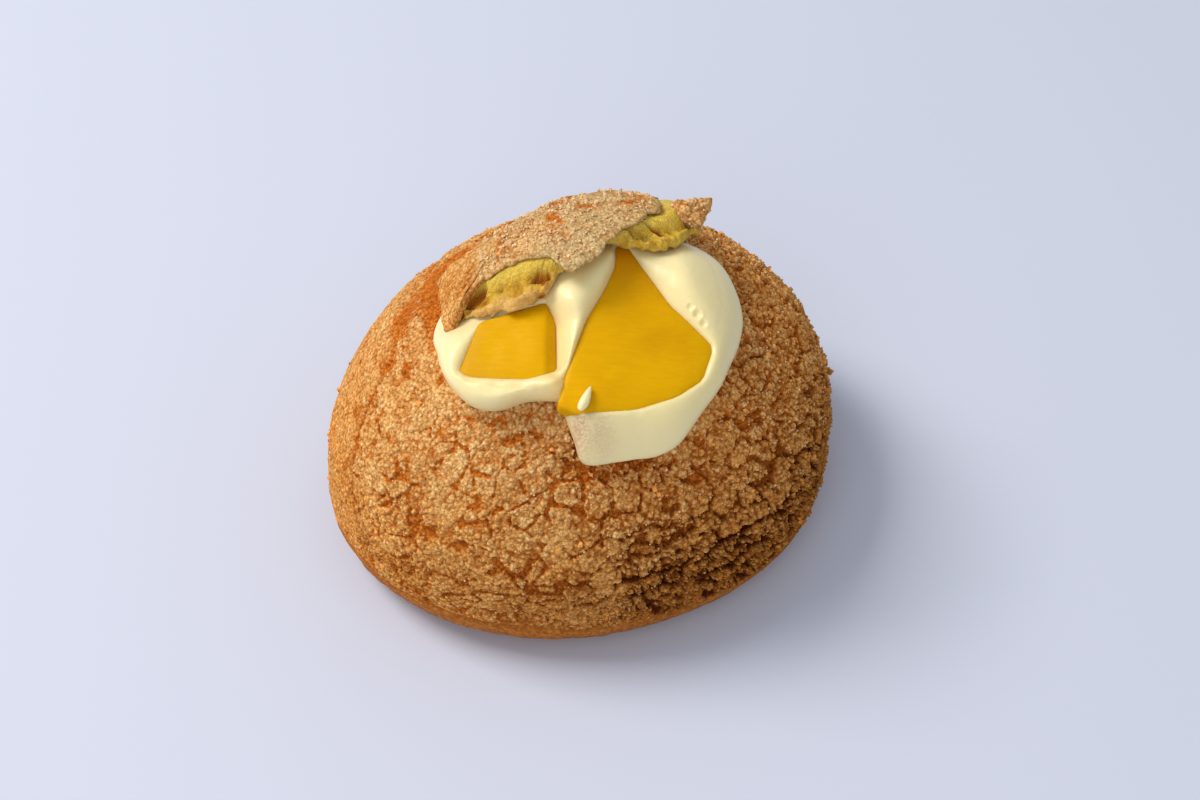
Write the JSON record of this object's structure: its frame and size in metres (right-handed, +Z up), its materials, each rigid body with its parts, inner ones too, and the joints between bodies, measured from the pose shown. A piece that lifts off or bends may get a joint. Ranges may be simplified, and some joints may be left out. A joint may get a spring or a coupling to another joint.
{
  "type": "cream puff",
  "caption": "Round choux bun with a crackled cookie crust, its top torn open over cream filling and pieces of mango.",
  "frame": {"origin": "middle of the bun's bounding box, at the level of its flat underside", "axes": "+Z up; the torn opening faces -Y and up; X runs across the opening, along the bun's longest extent"},
  "size_m": [0.0834, 0.077, 0.0565],
  "materials": {
    "choux_crust": "golden-brown baked cookie crust, rough, cracked and grained with sugar",
    "cream": "pale ivory custard cream, smooth with a soft sheen",
    "mango": "ripe yellow-orange mango flesh, moist, with fine fibres"
  },
  "bodies": {
    "root": {"choux_shell": "choux_crust", "cream": "cream", "mango_large": "mango", "mango_small": "mango"}
  },
  "joints": []
}
